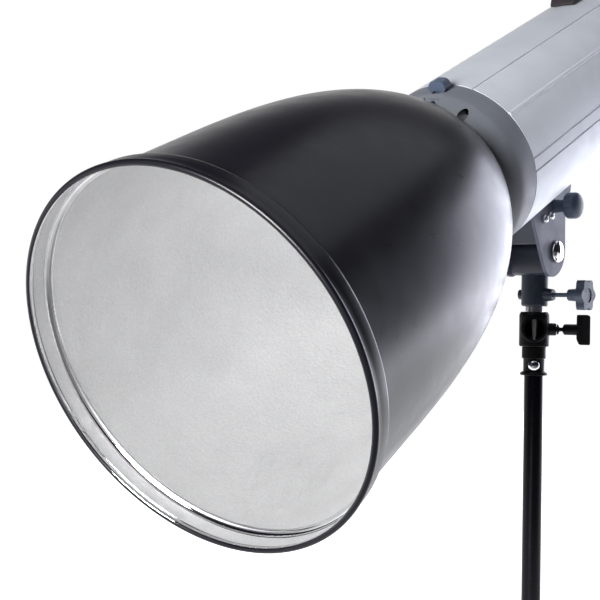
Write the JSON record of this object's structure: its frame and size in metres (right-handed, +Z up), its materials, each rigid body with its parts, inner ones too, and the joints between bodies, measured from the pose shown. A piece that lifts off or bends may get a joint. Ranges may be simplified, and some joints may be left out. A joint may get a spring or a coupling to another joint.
{
  "type": "studio flash head",
  "caption": "Studio monolight flash head with a deep long-focus reflector, tilt bracket with umbrella clamp, swivel socket and the top fitting of a light stand.",
  "frame": {"origin": "centre of the flat lower end of the stand's riser, on the riser's axis", "axes": "+Z up along the riser; the reflector's mouth faces -Y and dips 25 degrees; the tilt axis lies along X, with the star knob and the chrome bolt head on +X"},
  "size_m": [0.28, 0.7518, 0.6554],
  "materials": {
    "black_satin": "spun aluminium, satin black enamel outside, bright matt silver inside",
    "silver": "satin turned aluminium",
    "grey_plastic": "fine-textured dark grey moulding",
    "housing_paint": "pale blue-grey satin powder coat on extruded aluminium",
    "bracket_paint": "pale lavender-grey satin powder coat",
    "slate_paint": "slate blue-grey enamel on cast aluminium",
    "knob_plastic": "slate blue moulded plastic",
    "chrome": "polished chrome plate",
    "steel": "zinc-plated steel",
    "black_plastic": "black moulding",
    "black_anodised": "black anodised tube",
    "glass": "clear heat-proof glass",
    "ceramic": "glazed ceramic",
    "board": "green circuit laminate",
    "capacitor_sleeve": "shrink sleeve",
    "copper": "varnished copper winding on a laminated core",
    "red_lens": "translucent red lens",
    "rubber": "soft black rubber"
  },
  "bodies": {
    "stand_top": {"riser_tube": "black_anodised", "riser_end_plug": "black_plastic", "top_sleeve": "black_plastic", "stand_collar": "black_plastic", "spigot": "chrome"},
    "snap_button": {"snap_button": "chrome"},
    "cross_bar_screw": {"cross_bar_screw": "black_plastic"},
    "swivel": {"swivel_socket": "slate_paint"},
    "star_knob": {"star_knob": "knob_plastic"},
    "head": {"bracket_cheek_right": "bracket_paint", "bracket_cheek_left": "bracket_paint", "friction_washer_right": "rubber", "friction_washer_left": "rubber", "umbrella_block": "slate_paint", "pivot_bolt": "chrome", "front_collar": "grey_plastic", "front_plate": "silver", "glass_dome": "glass", "flash_tube": "glass", "flash_tube_base": "ceramic", "modelling_bulb": "glass", "modelling_bulb_cap": "silver", "lamp_holder": "ceramic", "housing_shell": "housing_paint", "chassis_tray": "silver", "storage_capacitor_1": "capacitor_sleeve", "storage_capacitor_2": "capacitor_sleeve", "transformer": "copper", "control_board": "board", "fan_frame": "black_plastic", "rear_cap": "grey_plastic", "rear_panel": "grey_plastic", "display_window": "black_plastic", "ready_lamp": "red_lens", "slave_sensor_dome": "red_lens", "sync_jack": "steel", "rocker_frame": "black_plastic", "mains_inlet": "black_plastic", "carry_handle": "rubber", "cheek_screw_right_1": "steel", "cheek_screw_right_2": "steel", "cheek_screw_left_1": "steel", "cheek_screw_left_2": "steel", "collar_screw_1": "steel", "collar_screw_2": "steel", "collar_screw_3": "steel", "collar_screw_4": "steel"},
    "umbrella_clamp_knob": {"umbrella_clamp_knob": "knob_plastic"},
    "tilt_lock_lever": {"tilt_lock_lever": "black_plastic"},
    "reflector": {"reflector_shell": "black_satin", "reflector_bayonet_ring": "silver"},
    "release": {"release_slider": "knob_plastic", "release_pin": "steel"},
    "fan_rotor": {"fan_rotor": "black_plastic"},
    "power_dial": {"power_dial": "black_plastic"},
    "modelling_dial": {"modelling_dial": "black_plastic"},
    "test_button": {"test_button": "black_plastic"},
    "slave_button": {"slave_button": "black_plastic"},
    "mains_rocker": {"mains_rocker": "black_plastic"},
    "fuse_cap": {"fuse_cap": "black_plastic"}
  },
  "joints": [
    {"name": "pan", "type": "hinge", "parent": "stand_top", "child": "swivel", "pos_m": [0, 0, 0.3185], "axis": [0, 0, 1], "continuous": true},
    {"name": "tilt", "type": "hinge", "parent": "swivel", "child": "head", "pos_m": [0, -0.002, 0.3585], "axis": [1, 0, 0], "range_deg": [-115, 55]},
    {"name": "tilt_lock_turn", "type": "hinge", "parent": "head", "child": "tilt_lock_lever", "pos_m": [0, -0.002, 0.3585], "axis": [1, 0, 0], "range_deg": [0, 75]},
    {"name": "umbrella_clamp_turn", "type": "hinge", "parent": "head", "child": "umbrella_clamp_knob", "pos_m": [0, -0.00613, 0.40017], "axis": [1, 0, 0], "range_deg": [0, 360]},
    {"name": "star_knob_turn", "type": "hinge", "parent": "swivel", "child": "star_knob", "pos_m": [0, 0, 0.3185], "axis": [1, 0, 0], "range_deg": [0, 360]},
    {"name": "cross_bar_turn", "type": "hinge", "parent": "stand_top", "child": "cross_bar_screw", "pos_m": [0, 0, 0.2864], "axis": [0.8934, 0.4493, 0], "range_deg": [0, 360]},
    {"name": "snap_button_press", "type": "slide", "parent": "stand_top", "child": "snap_button", "axis": [-0.4493, 0.8934, 0], "range_m": [0, 0.0025], "stiffness_N_per_m": 800, "springref_m": -0.002},
    {"name": "reflector_twist", "type": "hinge", "parent": "head", "child": "reflector", "pos_m": [0, -0.48401, 0.26656], "axis": [0, -0.9059, -0.4234], "range_deg": [0, 24]},
    {"name": "release_slide", "type": "slide", "parent": "head", "child": "release", "axis": [0, 0.9059, 0.4234], "range_m": [0, 0.0045], "stiffness_N_per_m": 600, "springref_m": -0.002},
    {"name": "fan_spin", "type": "hinge", "parent": "head", "child": "fan_rotor", "pos_m": [0, 0.16664, 0.56073], "axis": [0, 0.9059, 0.4234], "continuous": true},
    {"name": "power_dial_turn", "type": "hinge", "parent": "head", "child": "power_dial", "pos_m": [0.033, 0.17012, 0.59105], "axis": [0, 0.9059, 0.4234], "range_deg": [-135, 135]},
    {"name": "modelling_dial_turn", "type": "hinge", "parent": "head", "child": "modelling_dial", "pos_m": [-0.033, 0.17012, 0.59105], "axis": [0, 0.9059, 0.4234], "range_deg": [-135, 135]},
    {"name": "test_button_press", "type": "slide", "parent": "head", "child": "test_button", "axis": [0, -0.9059, -0.4234], "range_m": [0, 0.0015], "stiffness_N_per_m": 600, "springref_m": -0.001},
    {"name": "slave_button_press", "type": "slide", "parent": "head", "child": "slave_button", "axis": [0, -0.9059, -0.4234], "range_m": [0, 0.0015], "stiffness_N_per_m": 600, "springref_m": -0.001},
    {"name": "mains_rocker_tilt", "type": "hinge", "parent": "head", "child": "mains_rocker", "pos_m": [0.026, 0.19196, 0.53724], "axis": [1, 0, 0], "range_deg": [-16, 0]},
    {"name": "fuse_cap_turn", "type": "hinge", "parent": "head", "child": "fuse_cap", "pos_m": [0.046, 0.1824, 0.56478], "axis": [0, 0.9059, 0.4234], "range_deg": [0, 45]}
  ]
}
